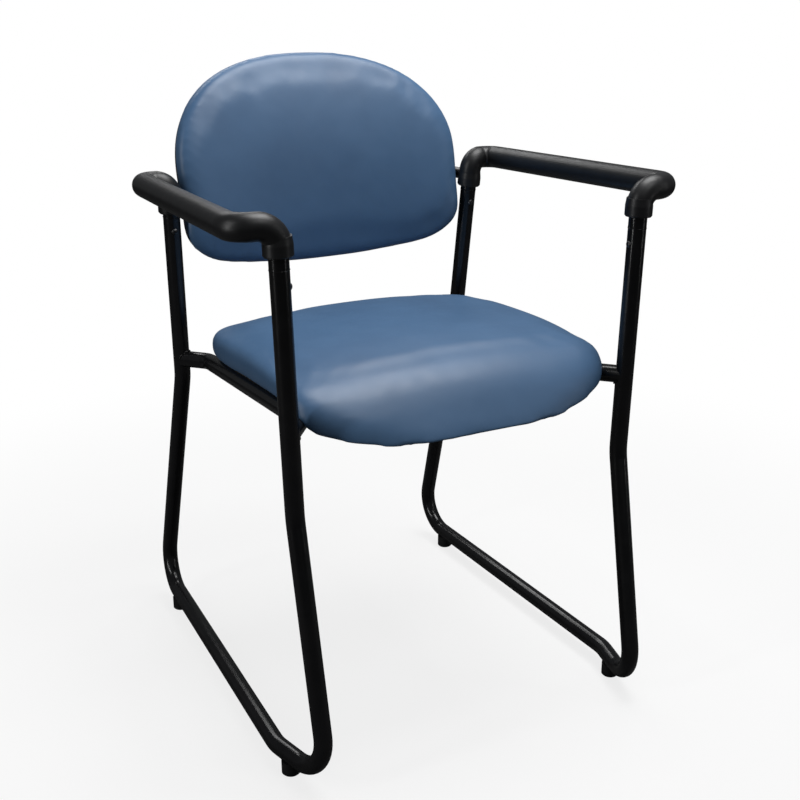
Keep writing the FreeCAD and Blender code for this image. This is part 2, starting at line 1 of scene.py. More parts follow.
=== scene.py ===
import json
import math
import bmesh
import bpy
from mathutils import Matrix, Vector


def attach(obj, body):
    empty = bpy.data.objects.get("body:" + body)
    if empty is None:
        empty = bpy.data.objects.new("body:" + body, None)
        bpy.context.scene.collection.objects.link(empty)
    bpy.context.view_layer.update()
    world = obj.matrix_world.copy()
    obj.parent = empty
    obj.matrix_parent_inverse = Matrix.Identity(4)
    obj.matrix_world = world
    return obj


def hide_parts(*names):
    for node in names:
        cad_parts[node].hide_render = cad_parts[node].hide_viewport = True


# Sled base visitor chair. Metres, +Z up, the sitter faces -Y.

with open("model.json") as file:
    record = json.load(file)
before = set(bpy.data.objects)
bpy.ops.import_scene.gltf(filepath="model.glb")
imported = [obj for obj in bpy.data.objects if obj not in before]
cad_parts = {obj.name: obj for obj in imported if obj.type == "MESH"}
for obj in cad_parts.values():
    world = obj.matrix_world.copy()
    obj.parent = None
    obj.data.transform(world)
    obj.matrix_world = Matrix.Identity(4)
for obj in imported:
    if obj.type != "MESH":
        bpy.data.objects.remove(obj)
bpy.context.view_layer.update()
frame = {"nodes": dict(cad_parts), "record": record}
nodes = frame["nodes"]
sides = {"right": 1, "left": -1}
weldDistance = 0.00002
noiseSpan = (0.25, 0.75)
print("frame loaded:", len(nodes), "nodes")


view = {
    "place": (-0.67842, -1.38761, 0.90922),
    "right": (0.89007, -0.45579, -0.00565),
    "up": (0.15532, 0.29163, 0.94384),
    "lens": 54.604,
    "sensor": 36.0,
}


def makeCamera():
    data = bpy.data.cameras.new("photoCamera")
    data.lens = view["lens"]
    data.sensor_width = view["sensor"]
    data.sensor_fit = "HORIZONTAL"
    data.clip_start = 0.05
    camera = bpy.data.objects.new("photoCamera", data)
    right = Vector(view["right"]).normalized()
    up = Vector(view["up"])
    back = right.cross(up).normalized()
    up = back.cross(right)
    turn = Matrix((right, up, back)).transposed().to_4x4()
    camera.matrix_world = Matrix.Translation(Vector(view["place"])) @ turn
    bpy.context.scene.collection.objects.link(camera)
    bpy.context.scene.camera = camera


makeCamera()
print("camera ready")


def newFinish(name):
    # an empty node material with its shader and output
    finish = bpy.data.materials.new(name)
    finish.use_nodes = True
    tree = finish.node_tree
    tree.nodes.clear()
    output = tree.nodes.new("ShaderNodeOutputMaterial")
    shader = tree.nodes.new("ShaderNodeBsdfPrincipled")
    tree.links.new(shader.outputs["BSDF"], output.inputs["Surface"])
    place = tree.nodes.new("ShaderNodeTexCoord")
    return finish, tree, shader, place


def addNoise(tree, place, scale, detail=3.0, rough=0.55, stretch=None):
    noise = tree.nodes.new("ShaderNodeTexNoise")
    noise.inputs["Scale"].default_value = scale
    noise.inputs["Detail"].default_value = detail
    noise.inputs["Roughness"].default_value = rough
    source = place.outputs["Object"]
    if stretch:
        mapping = tree.nodes.new("ShaderNodeMapping")
        mapping.inputs["Scale"].default_value = stretch
        tree.links.new(source, mapping.inputs["Vector"])
        source = mapping.outputs["Vector"]
    tree.links.new(source, noise.inputs["Vector"])
    return noise.outputs["Fac"]


def addRamp(tree, value, stops):
    ramp = tree.nodes.new("ShaderNodeValToRGB")
    elements = ramp.color_ramp.elements
    while len(elements) < len(stops):
        elements.new(0.5)
    for element, (position, colour) in zip(elements, stops):
        element.position = position
        element.color = (*colour, 1.0)
    tree.links.new(value, ramp.inputs["Fac"])
    return ramp.outputs["Color"]


def addRange(tree, value, low, high):
    # stretches a 0..1 value to a useful range
    reach = tree.nodes.new("ShaderNodeMapRange")
    reach.inputs["From Min"].default_value = noiseSpan[0]
    reach.inputs["From Max"].default_value = noiseSpan[1]
    reach.inputs["To Min"].default_value = low
    reach.inputs["To Max"].default_value = high
    tree.links.new(value, reach.inputs["Value"])
    return reach.outputs["Result"]


def addBump(tree, shader, height, distance, strength=1.0, under=None):
    bump = tree.nodes.new("ShaderNodeBump")
    bump.inputs["Distance"].default_value = distance
    bump.inputs["Strength"].default_value = strength
    tree.links.new(height, bump.inputs["Height"])
    if under:
        tree.links.new(under.outputs["Normal"], bump.inputs["Normal"])
    tree.links.new(bump.outputs["Normal"], shader.inputs["Normal"])
    return bump


def makeBlueVinyl():
    # smooth upholstery vinyl: fine hide grain, faint tone drift, soft sheen
    look = {
        "deep": (0.062, 0.132, 0.250),
        "mid": (0.070, 0.148, 0.276),
        "light": (0.078, 0.162, 0.300),
        "drift": 9.0,
        "glossDrift": 60.0,
        "gloss": (0.38, 0.46),
        "grain": 675.0,
        "grainDepth": 0.00005,
        "ripple": 16.0,
        "rippleDepth": 0.0016,
    }
    finish, tree, shader, place = newFinish("blueVinyl")
    drift = addNoise(tree, place, look["drift"], 4.0)
    colour = addRamp(tree, drift, [(0.3, look["deep"]), (0.5, look["mid"]), (0.72, look["light"])])
    tree.links.new(colour, shader.inputs["Base Color"])
    gloss = addRange(tree, addNoise(tree, place, look["glossDrift"], 3.0), *look["gloss"])
    tree.links.new(gloss, shader.inputs["Roughness"])
    shader.inputs["Specular IOR Level"].default_value = 0.5
    slow = addBump(tree, shader, addNoise(tree, place, look["ripple"], 2.0), look["rippleDepth"], 0.5)
    cells = tree.nodes.new("ShaderNodeTexVoronoi")
    cells.feature = "DISTANCE_TO_EDGE"
    cells.inputs["Scale"].default_value = look["grain"]
    tree.links.new(place.outputs["Object"], cells.inputs["Vector"])
    addBump(tree, shader, cells.outputs["Distance"], look["grainDepth"], 0.35, slow)
    return finish


def makeBlackCoat(name, roughLow=0.17, roughHigh=0.25):
    # semi-gloss powder coat: orange peel, faint dust in the gloss
    look = {
        "deep": (0.0050, 0.0050, 0.0058),
        "light": (0.0085, 0.0085, 0.0095),
        "drift": 30.0,
        "dust": 110.0,
        "peel": 420.0,
        "peelDepth": 0.00008,
    }
    finish, tree, shader, place = newFinish(name)
    tone = addNoise(tree, place, look["drift"], 4.0)
    colour = addRamp(tree, tone, [(0.3, look["deep"]), (0.7, look["light"])])
    tree.links.new(colour, shader.inputs["Base Color"])
    rough = addRange(tree, addNoise(tree, place, look["dust"], 5.0), roughLow, roughHigh)
    tree.links.new(rough, shader.inputs["Roughness"])
    shader.inputs["Specular IOR Level"].default_value = 0.5
    peel = addNoise(tree, place, look["peel"], 2.0)
    addBump(tree, shader, peel, look["peelDepth"], 0.4)
    return finish


def makeMoulding(name, base, roughLow, roughHigh, grainScale, grainDepth):
    # moulded black plastic with a fine spark-eroded grain
    finish, tree, shader, place = newFinish(name)
    tone = addNoise(tree, place, 45.0, 5.0)
    darker = tuple(value * 0.75 for value in base)
    colour = addRamp(tree, tone, [(0.3, darker), (0.7, base)])
    tree.links.new(colour, shader.inputs["Base Color"])
    rough = addRange(tree, addNoise(tree, place, 90.0, 4.0), roughLow, roughHigh)
    tree.links.new(rough, shader.inputs["Roughness"])
    shader.inputs["Specular IOR Level"].default_value = 0.5
    cells = tree.nodes.new("ShaderNodeTexVoronoi")
    cells.inputs["Scale"].default_value = grainScale
    tree.links.new(place.outputs["Object"], cells.inputs["Vector"])
    addBump(tree, shader, cells.outputs["Distance"], grainDepth, 0.4)
    return finish


def makePlywood():
    # bare plywood with its long grain
    look = {
        "deep": (0.30, 0.185, 0.09),
        "mid": (0.42, 0.28, 0.15),
        "light": (0.50, 0.35, 0.20),
        "grain": 26.0,
        "stretch": (9.0, 0.9, 9.0),
    }
    finish, tree, shader, place = newFinish("plywood")
    grain = addNoise(tree, place, look["grain"], 6.0, 0.6, look["stretch"])
    face = addRamp(tree, grain, [(0.32, look["deep"]), (0.52, look["mid"]), (0.7, look["light"])])
    tree.links.new(face, shader.inputs["Base Color"])
    shader.inputs["Roughness"].default_value = 0.72
    addBump(tree, shader, grain, 0.0002, 0.5)
    return finish


def makeDustCloth():
    # black spun cloth with its pressed dots
    look = {
        "deep": (0.010, 0.010, 0.011),
        "light": (0.030, 0.030, 0.032),
        "fibre": 900.0,
        "dots": 480.0,
        "dotDepth": 0.0002,
    }
    finish, tree, shader, place = newFinish("dustCloth")
    fibre = addNoise(tree, place, look["fibre"], 4.0)
    colour = addRamp(tree, fibre, [(0.35, look["deep"]), (0.7, look["light"])])
    tree.links.new(colour, shader.inputs["Base Color"])
    shader.inputs["Roughness"].default_value = 0.9
    dots = tree.nodes.new("ShaderNodeTexVoronoi")
    dots.inputs["Scale"].default_value = look["dots"]
    dots.inputs["Randomness"].default_value = 0.0
    tree.links.new(place.outputs["Object"], dots.inputs["Vector"])
    addBump(tree, shader, dots.outputs["Distance"], look["dotDepth"], 0.6)
    return finish


def makeBrightSteel(name, base, roughLow, roughHigh):
    # plated steel with faint turning marks
    finish, tree, shader, place = newFinish(name)
    shader.inputs["Metallic"].default_value = 1.0
    tone = addNoise(tree, place, 260.0, 3.0)
    darker = tuple(value * 0.8 for value in base)
    colour = addRamp(tree, tone, [(0.3, darker), (0.7, base)])
    tree.links.new(colour, shader.inputs["Base Color"])
    rough = addRange(tree, addNoise(tree, place, 500.0, 2.0), roughLow, roughHigh)
    tree.links.new(rough, shader.inputs["Roughness"])
    addBump(tree, shader, tone, 0.00003, 0.4)
    return finish


finishes = {
    "blue_vinyl": makeBlueVinyl(),
    "black_powder_coat": makeBlackCoat("blackPowderCoat"),
    "tube_weld": makeBlackCoat("coatedWeld", 0.16, 0.26),
    "arm_moulding": makeMoulding("armMoulding", (0.0095, 0.0098, 0.0110), 0.36, 0.44, 900.0, 0.00004),
    "glide_plastic": makeMoulding("glidePlastic", (0.012, 0.012, 0.013), 0.42, 0.55, 700.0, 0.00008),
    "shell_plastic": makeMoulding("shellPlastic", (0.014, 0.014, 0.015), 0.48, 0.60, 650.0, 0.00014),
    "plywood": makePlywood(),
    "dust_cloth": makeDustCloth(),
    "zinc_steel": makeBrightSteel("zincSteel", (0.62, 0.62, 0.60), 0.25, 0.4),
    "black_screw": makeBrightSteel("blackZinc", (0.10, 0.10, 0.105), 0.28, 0.42),
}


def setFinish(piece, slotName):
    piece.data.materials.clear()
    piece.data.materials.append(finishes[slotName])


for row in frame["record"]["subparts"]:
    setFinish(nodes[row["node"]], row["material_slot"])
print("finishes ready:", len(finishes))


def linkMesh(name, mesh):
    piece = bpy.data.objects.new(name, mesh)
    bpy.context.scene.collection.objects.link(piece)
    return piece


def shadeSmooth(piece):
    for polygon in piece.data.polygons:
        polygon.use_smooth = True


def useModifier(piece, modifier):
    # applies one modifier by taking the evaluated mesh
    graph = bpy.context.evaluated_depsgraph_get()
    result = bpy.data.meshes.new_from_object(piece.evaluated_get(graph))
    piece.modifiers.remove(modifier)
    old = piece.data
    piece.data = result
    bpy.data.meshes.remove(old)


def finishPiece(piece, slotName, *replaced):
    setFinish(piece, slotName)
    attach(piece, "root")
    if replaced:
        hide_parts(*replaced)


def mergedCopy(nodeNames, pieceName):
    # one welded copy of the frame nodes' loose triangles
    mesh = bpy.data.meshes.new(pieceName)
    shape = bmesh.new()
    for name in nodeNames:
        shape.from_mesh(nodes[name].data)
    bmesh.ops.remove_doubles(shape, verts=shape.verts, dist=weldDistance)
    shape.to_mesh(mesh)
    shape.free()
    return linkMesh(pieceName, mesh)


seatPad = {
    "node": "seat_cushion",
    "core": "seat_board",
    "voxel": 0.005,
    "shrink": 0.0030,
    "pressure": 4.0,
    "cap": 0.0035,
    "smooth": 18,
    "fill": 0.8,
    "rollStart": -0.160,
    "rollDepth": 0.128,
    "pullBack": 0.019,
    "drop": 0.0165,
    "bulge": 0.011,
    "bulgePeak": 5.38,
    "noseSmooth": 34,
    "noseRise": 1.6,
    "flare": 0.006,
    "flareY": -0.222,
    "flareReach": 0.032,
    "flareHalf": 0.2,
}
backPad = {
    "node": "back_cushion",
    "core": "back_board",
    "voxel": 0.0045,
    "shrink": 0.0025,
    "pressure": 4.0,
    "cap": 0.0035,
    "smooth": 12,
    "fill": 0.8,
    "swell": 0.012,
    "halfHigh": 0.150,
    "halfWide": 0.212,
    "middle": (0.0, 0.2247, 0.670),
    "recline": math.radians(14.2),
}


def rollFront(piece):
    # rounds the nose of the seat down to a steep face, then calms it
    normals = [vertex.normal.copy() for vertex in piece.data.vertices]
    for vertex, normal in zip(piece.data.vertices, normals):
        x, y, z = vertex.co
        along = (seatPad["rollStart"] - y) / seatPad["rollDepth"]
        along = min(1.0, max(0.0, along))
        swell = seatPad["bulgePeak"] * along ** 1.5 * (1.0 - along)
        lift = seatPad["bulge"] * swell * max(0.0, normal.z)
        fromFlare = (y - seatPad["flareY"]) / seatPad["flareReach"]
        outer = min(1.0, abs(x) / seatPad["flareHalf"])
        wide = seatPad["flare"] * math.exp(-fromFlare ** 2) * outer ** 4
        vertex.co = (
            x + math.copysign(wide, x),
            y + seatPad["pullBack"] * along ** 2,
            z + lift - seatPad["drop"] * along ** 2,
        )
    group = piece.vertex_groups.new(name="nose")
    for vertex in piece.data.vertices:
        near = (seatPad["rollStart"] - vertex.co.y) / seatPad["rollDepth"]
        group.add([vertex.index], min(1.0, max(0.0, near * seatPad["noseRise"])), "REPLACE")
    calm = piece.modifiers.new("nose", "SMOOTH")
    calm.factor = 0.5
    calm.iterations = seatPad["noseSmooth"]
    calm.vertex_group = "nose"
    useModifier(piece, calm)
    piece.vertex_groups.clear()


def swellBack(piece):
    # the crown of the back pad, fullest at its middle
    lean = backPad["recline"]
    upward = Vector((0.0, math.sin(lean), math.cos(lean)))
    forward = Vector((0.0, -math.cos(lean), math.sin(lean)))
    middle = Vector(backPad["middle"])
    normals = [vertex.normal.copy() for vertex in piece.data.vertices]
    for vertex, normal in zip(piece.data.vertices, normals):
        offset = vertex.co - middle
        high = min(1.0, abs(offset.dot(upward)) / backPad["halfHigh"])
        wide = min(1.0, abs(offset.x) / backPad["halfWide"])
        facing = max(0.0, normal.dot(forward))
        amount = backPad["swell"] * (1 - high ** 2) * (1 - wide ** 2)
        vertex.co += forward * (amount * facing)


cloth = {
    "frames": 20,
    "quality": 5,
    "mass": 0.3,
    "tension": 15.0,
    "shear": 5.0,
    "bending": 0.6,
    "calm": 20,
    "heldTurn": 0.55,
}


def makePad(pieceName, pad, isHeld, reshape):
    # foam on its board under vinyl: remeshed, shrunk, then blown out as cloth
    piece = mergedCopy((pad["node"], pad["core"]), pieceName)
    remesh = piece.modifiers.new("remesh", "REMESH")
    remesh.mode = "VOXEL"
    remesh.voxel_size = pad["voxel"]
    useModifier(piece, remesh)
    smooth = piece.modifiers.new("smooth", "SMOOTH")
    smooth.factor = 0.5
    smooth.iterations = pad["smooth"]
    useModifier(piece, smooth)
    reshape(piece)
    mesh = piece.data
    start = [vertex.co.copy() for vertex in mesh.vertices]
    normals = [vertex.normal.copy() for vertex in mesh.vertices]
    held = [isHeld(normal) for normal in normals]
    for vertex, place, normal, fixed in zip(mesh.vertices, start, normals, held):
        vertex.co = place if fixed else place - normal * pad["shrink"]
    mesh.update()
    blowOut(piece, pad, held)
    settled = piece.data.vertices
    for vertex, place, fixed in zip(settled, start, held):
        if fixed:
            vertex.co = place
            continue
        move = vertex.co - place
        if move.length > pad["cap"]:
            vertex.co = place + move * (pad["cap"] / move.length)
    calm = piece.modifiers.new("calm", "SMOOTH")
    calm.factor = 0.5
    calm.iterations = cloth["calm"]
    useModifier(piece, calm)
    shadeSmooth(piece)
    finishPiece(piece, "blue_vinyl", pad["node"])
    fine = piece.modifiers.new("fine", "SUBSURF")
    fine.levels = 1
    fine.render_levels = 1
    print(pieceName, len(piece.data.vertices), "points")


def blowOut(piece, pad, held):
    # the held points stay, the rest is pressed out from inside
    group = piece.vertex_groups.new(name="held")
    group.add([index for index, fixed in enumerate(held) if fixed], 1.0, "REPLACE")
    skin = piece.modifiers.new("cloth", "CLOTH")
    settings = skin.settings
    settings.quality = cloth["quality"]
    settings.mass = cloth["mass"]
    settings.tension_stiffness = cloth["tension"]
    settings.compression_stiffness = cloth["tension"]
    settings.shear_stiffness = cloth["shear"]
    settings.bending_stiffness = cloth["bending"]
    settings.use_pressure = True
    settings.uniform_pressure_force = pad["pressure"]
    settings.effector_weights.gravity = 0.0
    settings.vertex_group_mass = "held"
    skin.collision_settings.use_collision = False
    skin.point_cache.frame_start = 1
    skin.point_cache.frame_end = cloth["frames"]
    scene = bpy.context.scene
    for step in range(1, cloth["frames"] + 1):
        scene.frame_set(step)
    useModifier(piece, skin)
    scene.frame_set(1)
    piece.vertex_groups.clear()


backNormal = Vector((0.0, math.cos(backPad["recline"]), -math.sin(backPad["recline"])))


def seatHeld(normal):
    # the underside of the seat stays put
    return normal.z < -cloth["heldTurn"]


def backHeld(normal):
    # the rear face of the back stays put
    return normal.dot(backNormal) > cloth["heldTurn"]


makePad("seatPad", seatPad, seatHeld, rollFront)
makePad("backPad", backPad, backHeld, swellBack)


# Repeats: small pieces placed at points by geometry nodes
def pointMesh(name, places, facings, alongs):
    mesh = bpy.data.meshes.new(name)
    mesh.from_pydata([tuple(place) for place in places], [], [])
    for label, values in (("facing", facings), ("along", alongs)):
        layer = mesh.attributes.new(label, "FLOAT_VECTOR", "POINT")
        for item, value in zip(layer.data, values):
            item.vector = value
    return linkMesh(name, mesh)


def pointVector(tree, label):
    node = tree.nodes.new("GeometryNodeInputNamedAttribute")
    node.data_type = "FLOAT_VECTOR"
    node.inputs["Name"].default_value = label
    return next(socket for socket in node.outputs if socket.enabled)


def repeatPiece(piece, makeShape, values, slotName):
    # one shape at each point, turned to the point's own directions
    tree = bpy.data.node_groups.new(piece.name + "Nodes", "GeometryNodeTree")
    sockets = tree.interface
    sockets.new_socket("Geometry", in_out="INPUT", socket_type="NodeSocketGeometry")
    sockets.new_socket("Geometry", in_out="OUTPUT", socket_type="NodeSocketGeometry")
    for label, value in values.items():
        kind = "NodeSocketInt" if isinstance(value, int) else "NodeSocketFloat"
        sockets.new_socket(label, in_out="INPUT", socket_type=kind)
    start = tree.nodes.new("NodeGroupInput")
    end = tree.nodes.new("NodeGroupOutput")
    shape = makeShape(tree, start)
    turn = tree.nodes.new("FunctionNodeAxesToRotation")
    turn.primary_axis = "Z"
    turn.secondary_axis = "X"
    tree.links.new(pointVector(tree, "facing"), turn.inputs[0])
    tree.links.new(pointVector(tree, "along"), turn.inputs[1])
    low = tree.nodes.new("ShaderNodeMath")
    low.operation = "MULTIPLY"
    low.inputs[1].default_value = -1.0
    tree.links.new(start.outputs["Wobble"], low.inputs[0])
    chance = tree.nodes.new("FunctionNodeRandomValue")
    chance.data_type = "FLOAT"
    ports = [socket for socket in chance.inputs if socket.enabled]
    tree.links.new(low.outputs[0], ports[0])
    tree.links.new(start.outputs["Wobble"], ports[1])
    tree.links.new(start.outputs["Seed"], chance.inputs["Seed"])
    spin = tree.nodes.new("FunctionNodeAxisAngleToRotation")
    spin.inputs["Axis"].default_value = (0.0, 0.0, 1.0)
    tree.links.new(next(socket for socket in chance.outputs if socket.enabled), spin.inputs["Angle"])
    both = tree.nodes.new("FunctionNodeRotateRotation")
    both.rotation_space = "LOCAL"
    tree.links.new(turn.outputs[0], both.inputs[0])
    tree.links.new(spin.outputs[0], both.inputs[1])
    put = tree.nodes.new("GeometryNodeInstanceOnPoints")
    tree.links.new(start.outputs["Geometry"], put.inputs["Points"])
    tree.links.new(shape, put.inputs["Instance"])
    tree.links.new(both.outputs[0], put.inputs["Rotation"])
    realize = tree.nodes.new("GeometryNodeRealizeInstances")
    tree.links.new(put.outputs["Instances"], realize.inputs["Geometry"])
    paint = tree.nodes.new("GeometryNodeSetMaterial")
    paint.inputs["Material"].default_value = finishes[slotName]
    tree.links.new(realize.outputs["Geometry"], paint.inputs["Geometry"])
    tree.links.new(paint.outputs["Geometry"], end.inputs["Geometry"])
    modifier = piece.modifiers.new("repeat", "NODES")
    modifier.node_group = tree
    for item in sockets.items_tree:
        if item.item_type == "SOCKET" and item.in_out == "INPUT" and item.name in values:
            modifier[item.identifier] = values[item.name]
    useModifier(piece, modifier)


def sizeVector(tree, start, labels):
    # three named inputs as one size
    join = tree.nodes.new("ShaderNodeCombineXYZ")
    for label, socket in zip(labels, join.inputs):
        tree.links.new(start.outputs[label], socket)
    return join.outputs[0]


def moved(tree, geometry, shift=(0.0, 0.0, 0.0), scale=(1.0, 1.0, 1.0), quarter=False):
    node = tree.nodes.new("GeometryNodeTransform")
    node.inputs["Translation"].default_value = shift
    node.inputs["Scale"].default_value = scale
    if quarter:
        node.inputs["Rotation"].default_value = (0.0, 0.0, math.pi / 2)
    tree.links.new(geometry, node.inputs["Geometry"])
    return node.outputs["Geometry"]


spigotScrews = {
    "front": (0.218769, -0.233677, 0.603008),
    "frontWay": (-1.0, 0.0, 0.0),
    "rear": (0.224338, 0.151560, 0.593125),
    "rearWay": (0.0, -1.0, 0.0),
    "domeShare": 0.58,
    "values": {
        "Head Radius": 0.0041,
        "Slot Length": 0.0046,
        "Slot Width": 0.0010,
        "Slot Depth": 0.0024,
        "Shank Radius": 0.0019,
        "Shank Length": 0.0110,
        "Wobble": 0.9,
        "Seed": 7,
    },
}


def screwShape(tree, start):
    # pan head with a cross recess, over a short shank
    share = spigotScrews["domeShare"]
    ball = tree.nodes.new("GeometryNodeMeshUVSphere")
    ball.inputs["Segments"].default_value = 40
    ball.inputs["Rings"].default_value = 20
    tree.links.new(start.outputs["Head Radius"], ball.inputs["Radius"])
    dome = moved(tree, ball.outputs["Mesh"], scale=(1.0, 1.0, share))
    cut = tree.nodes.new("GeometryNodeMeshBoolean")
    cut.operation = "DIFFERENCE"
    tree.links.new(dome, cut.inputs[0])
    lift = (0.0, 0.0, spigotScrews["values"]["Head Radius"] * share)
    for quarter in (False, True):
        bar = tree.nodes.new("GeometryNodeMeshCube")
        size = sizeVector(tree, start, ("Slot Length", "Slot Width", "Slot Depth"))
        tree.links.new(size, bar.inputs["Size"])
        tree.links.new(moved(tree, bar.outputs["Mesh"], lift, quarter=quarter), cut.inputs[1])
    shank = tree.nodes.new("GeometryNodeMeshCylinder")
    shank.inputs["Vertices"].default_value = 20
    tree.links.new(start.outputs["Shank Radius"], shank.inputs["Radius"])
    tree.links.new(start.outputs["Shank Length"], shank.inputs["Depth"])
    sunk = (0.0, 0.0, -spigotScrews["values"]["Shank Length"] / 2)
    join = tree.nodes.new("GeometryNodeJoinGeometry")
    tree.links.new(cut.outputs["Mesh"], join.inputs[0])
    tree.links.new(moved(tree, shank.outputs["Mesh"], sunk), join.inputs[0])
    return join.outputs[0]


def makeSpigotScrews():
    places = []
    facings = []
    for side in sides.values():
        for end in ("front", "rear"):
            x, y, z = spigotScrews[end]
            wayX, wayY, wayZ = spigotScrews[end + "Way"]
            places.append(Vector((side * x, y, z)))
            facings.append(Vector((side * wayX, wayY, wayZ)))
    piece = pointMesh("spigotScrewHeads", places, facings, [Vector((0, 0, 1))] * len(places))
    repeatPiece(piece, screwShape, spigotScrews["values"], "black_screw")
    finishPiece(piece, "black_screw", "arm_core_screws")


jointRings = {
    "front": (0.230, -0.23381, 0.622),
    "frontFoot": (0.222, -0.23181, 0.336),
    "rear": (0.225, 0.16019, 0.612),
    "rearFoot": (0.217, 0.18519, 0.384),
    "values": {"Ring Radius": 0.0111, "Wire Radius": 0.00045, "Wobble": 0.0, "Seed": 3},
}


def ringShape(tree, start):
    # a thin raised line round the tube
    loop = tree.nodes.new("GeometryNodeCurvePrimitiveCircle")
    loop.inputs["Resolution"].default_value = 64
    tree.links.new(start.outputs["Ring Radius"], loop.inputs["Radius"])
    wire = tree.nodes.new("GeometryNodeCurvePrimitiveCircle")
    wire.inputs["Resolution"].default_value = 10
    tree.links.new(start.outputs["Wire Radius"], wire.inputs["Radius"])
    solid = tree.nodes.new("GeometryNodeCurveToMesh")
    tree.links.new(loop.outputs["Curve"], solid.inputs["Curve"])
    tree.links.new(wire.outputs["Curve"], solid.inputs["Profile Curve"])
    return solid.outputs["Mesh"]


def makeJointRings():
    places = []
    facings = []
    for side in sides.values():
        for end in ("front", "rear"):
            x, y, z = jointRings[end]
            foot = jointRings[end + "Foot"]
            places.append(Vector((side * x, y, z)))
            facings.append(Vector((side * (x - foot[0]), y - foot[1], z - foot[2])).normalized())
    piece = pointMesh("jointRings", places, facings, [Vector((1, 0, 0))] * len(places))
    repeatPiece(piece, ringShape, jointRings["values"], "black_powder_coat")
    shadeSmooth(piece)
    finishPiece(piece, "black_powder_coat")


underSeat = {
    "slope": -0.06481,
    "levelY": 0.13919,
    "level": 0.42462,
    "coverHalf": 0.146,
    "coverRear": 0.12219,
    "coverFront": -0.16781,
    "coverCorner": 0.040,
    "coverThick": 0.0008,
    "hemHalf": 0.193,
    "hemRear": 0.128,
    "hemFront": -0.188,
    "hemCorner": 0.066,
    "cornerLoss": 0.5,
    "hemInner": 0.052,
    "hemThick": 0.0006,
    "hemPoints": 180,
    "hemRows": 7,
    "pleats": 26,
    "pleatDepth": 0.0006,
    "stapleInset": 0.0045,
    "stapleCount": 58,
    "values": {
        "Crown Length": 0.0100,
        "Crown Width": 0.0011,
        "Crown Height": 0.0007,
        "Wobble": 0.22,
        "Seed": 11,
    },
}


def underZ(y):
    # height of the plane under the seat board
    return underSeat["level"] + underSeat["slope"] * (y - underSeat["levelY"])


def roundedLoop(half, rear, front, corner, count):
    # points and headings round a rounded rectangle, evenly spaced
    straightX = 2 * (half - corner)
    straightY = rear - front - 2 * corner
    arc = corner * math.pi / 2
    total = 2 * (straightX + straightY) + 4 * arc
    centres = [(half - corner, rear - corner), (-half + corner, rear - corner),
               (-half + corner, front + corner), (half - corner, front + corner)]
    runs = [(straightY, 0), (straightX, 1), (straightY, 2), (straightX, 3)]
    result = []
    for index in range(count):
        travel = total * index / count
        for run, quarter in runs:
            angle = quarter * math.pi / 2
            outward = Vector((math.cos(angle), math.sin(angle)))
            heading = Vector((-outward.y, outward.x))
            centre = Vector(centres[quarter])
            if travel < run:
                start = centre + outward * corner - heading * run
                result.append((start + heading * travel, heading))
                break
            travel -= run
            if travel < arc:
                turned = angle + travel / corner
                outward = Vector((math.cos(turned), math.sin(turned)))
                result.append((centre + outward * corner, Vector((-outward.y, outward.x))))
                break
            travel -= arc
    return result


def makeCoverStaples():
    inset = underSeat["stapleInset"]
    loop = roundedLoop(underSeat["coverHalf"] - inset, underSeat["coverRear"] - inset,
                       underSeat["coverFront"] + inset, underSeat["coverCorner"] - inset,
                       underSeat["stapleCount"])
    down = Vector((0.0, underSeat["slope"], -1.0)).normalized()
    places = []
    alongs = []
    for spot, heading in loop:
        z = underZ(spot.y) - underSeat["coverThick"]
        places.append(Vector((spot.x, spot.y, z)))
        alongs.append(Vector((heading.x, heading.y, heading.y * underSeat["slope"])))
    piece = pointMesh("coverStaples", places, [down] * len(places), alongs)
    repeatPiece(piece, stapleShape, underSeat["values"], "zinc_steel")
    finishPiece(piece, "zinc_steel")


def stapleShape(tree, start):
    crown = tree.nodes.new("GeometryNodeMeshCube")
    size = sizeVector(tree, start, ("Crown Length", "Crown Width", "Crown Height"))
    tree.links.new(size, crown.inputs["Size"])
    return crown.outputs["Mesh"]


def makeSeatHem():
    # the vinyl drawn under the board, with small pleats at its edge
    count = underSeat["hemPoints"]
    rows = underSeat["hemRows"]
    shape = bmesh.new()
    grid = []
    for row in range(rows):
        share = row / (rows - 1)
        inset = underSeat["hemInner"] * share
        corner = underSeat["hemCorner"] * (1 - underSeat["cornerLoss"] * share)
        loop = roundedLoop(underSeat["hemHalf"] - inset, underSeat["hemRear"] - inset,
                           underSeat["hemFront"] + inset, corner, count)
        line = []
        for index, (spot, heading) in enumerate(loop):
            turning = abs(heading.x * heading.y) * 2
            wave = 0.5 + 0.5 * math.sin(2 * math.pi * underSeat["pleats"] * index / count)
            lower = underSeat["pleatDepth"] * turning * wave * math.sin(math.pi * share)
            z = underZ(spot.y) - underSeat["hemThick"] - lower
            line.append(shape.verts.new((spot.x, spot.y, z)))
        grid.append(line)
    for outer, inner in zip(grid, grid[1:]):
        for index in range(count):
            after = (index + 1) % count
            shape.faces.new((outer[index], inner[index], inner[after], outer[after]))
    bmesh.ops.recalc_face_normals(shape, faces=shape.faces)
    mesh = bpy.data.meshes.new("seatHem")
    shape.to_mesh(mesh)
    shape.free()
    piece = linkMesh("seatHem", mesh)
    thick = piece.modifiers.new("thick", "SOLIDIFY")
    thick.thickness = underSeat["hemThick"]
    thick.offset = 0.0
    useModifier(piece, thick)
    shadeSmooth(piece)
    finishPiece(piece, "blue_vinyl")


welds = {
    "nodes": ("seat_rail_welds", "crossbar_welds"),
    "voxel": 0.0006,
    "ripples": 13,
    "height": 0.00050,
    "sunk": 0.3,
}


